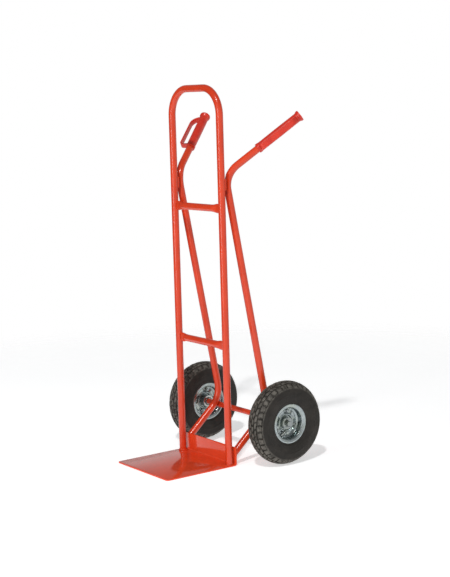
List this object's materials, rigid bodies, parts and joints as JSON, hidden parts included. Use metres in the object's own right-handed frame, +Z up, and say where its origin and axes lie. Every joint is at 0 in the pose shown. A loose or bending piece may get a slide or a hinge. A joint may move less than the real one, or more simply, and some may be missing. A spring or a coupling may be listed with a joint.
{
  "type": "hand truck",
  "caption": "Upright hand truck: hooped tube frame, folded toe plate, angled rear tubes with guarded grips, and air-filled wheels on a through axle.",
  "frame": {"origin": "on the floor, at the middle of the truck's footprint", "axes": "+Z up, +X to the right, -Y towards the toe plate's front edge; the handles and wheels are on the +Y side"},
  "size_m": [0.534, 0.52, 1.1692],
  "materials": {
    "red_enamel": "glossy baked enamel on steel",
    "red_grip": "moulded red plastic",
    "tyre_rubber": "moulded black-brown rubber",
    "tube_rubber": "smooth black rubber",
    "zinc_rim": "pressed steel, bright zinc plate",
    "zinc_fastener": "bright zinc plate",
    "bearing_steel": "ground and hardened steel"
  },
  "bodies": {
    "frame": {"front_frame": "red_enamel", "upper_crossbar": "red_enamel", "lower_crossbar": "red_enamel", "toe_plate": "red_enamel", "left_rear_tube": "red_enamel", "right_rear_tube": "red_enamel", "axle": "red_enamel", "rail_foot_welds": "red_enamel", "crossbar_welds": "red_enamel", "rear_tube_welds": "red_enamel", "axle_welds": "red_enamel", "left_grip": "red_grip", "right_grip": "red_grip", "axle_washers": "zinc_fastener", "split_pins": "zinc_fastener", "left_inner_races": "bearing_steel", "right_inner_races": "bearing_steel", "left_bearing_spacer": "zinc_fastener", "right_bearing_spacer": "zinc_fastener"},
    "left_wheel": {"left_tyre": "tyre_rubber", "left_inner_tube": "tube_rubber", "left_valve": "zinc_fastener", "left_valve_cap": "zinc_fastener", "left_outer_rim": "zinc_rim", "left_inner_rim": "zinc_rim", "left_hub": "zinc_rim", "left_outer_races": "bearing_steel", "left_balls": "bearing_steel", "left_rim_bolts": "zinc_fastener", "left_rim_nuts": "zinc_fastener"},
    "right_wheel": {"right_tyre": "tyre_rubber", "right_inner_tube": "tube_rubber", "right_valve": "zinc_fastener", "right_valve_cap": "zinc_fastener", "right_outer_rim": "zinc_rim", "right_inner_rim": "zinc_rim", "right_hub": "zinc_rim", "right_outer_races": "bearing_steel", "right_balls": "bearing_steel", "right_rim_bolts": "zinc_fastener", "right_rim_nuts": "zinc_fastener"}
  },
  "joints": [
    {"name": "left_wheel_spin", "type": "hinge", "parent": "frame", "child": "left_wheel", "pos_m": [-0.216, 0.13, 0.13], "axis": [1, 0, 0], "continuous": true},
    {"name": "right_wheel_spin", "type": "hinge", "parent": "frame", "child": "right_wheel", "pos_m": [0.216, 0.13, 0.13], "axis": [1, 0, 0], "continuous": true}
  ]
}
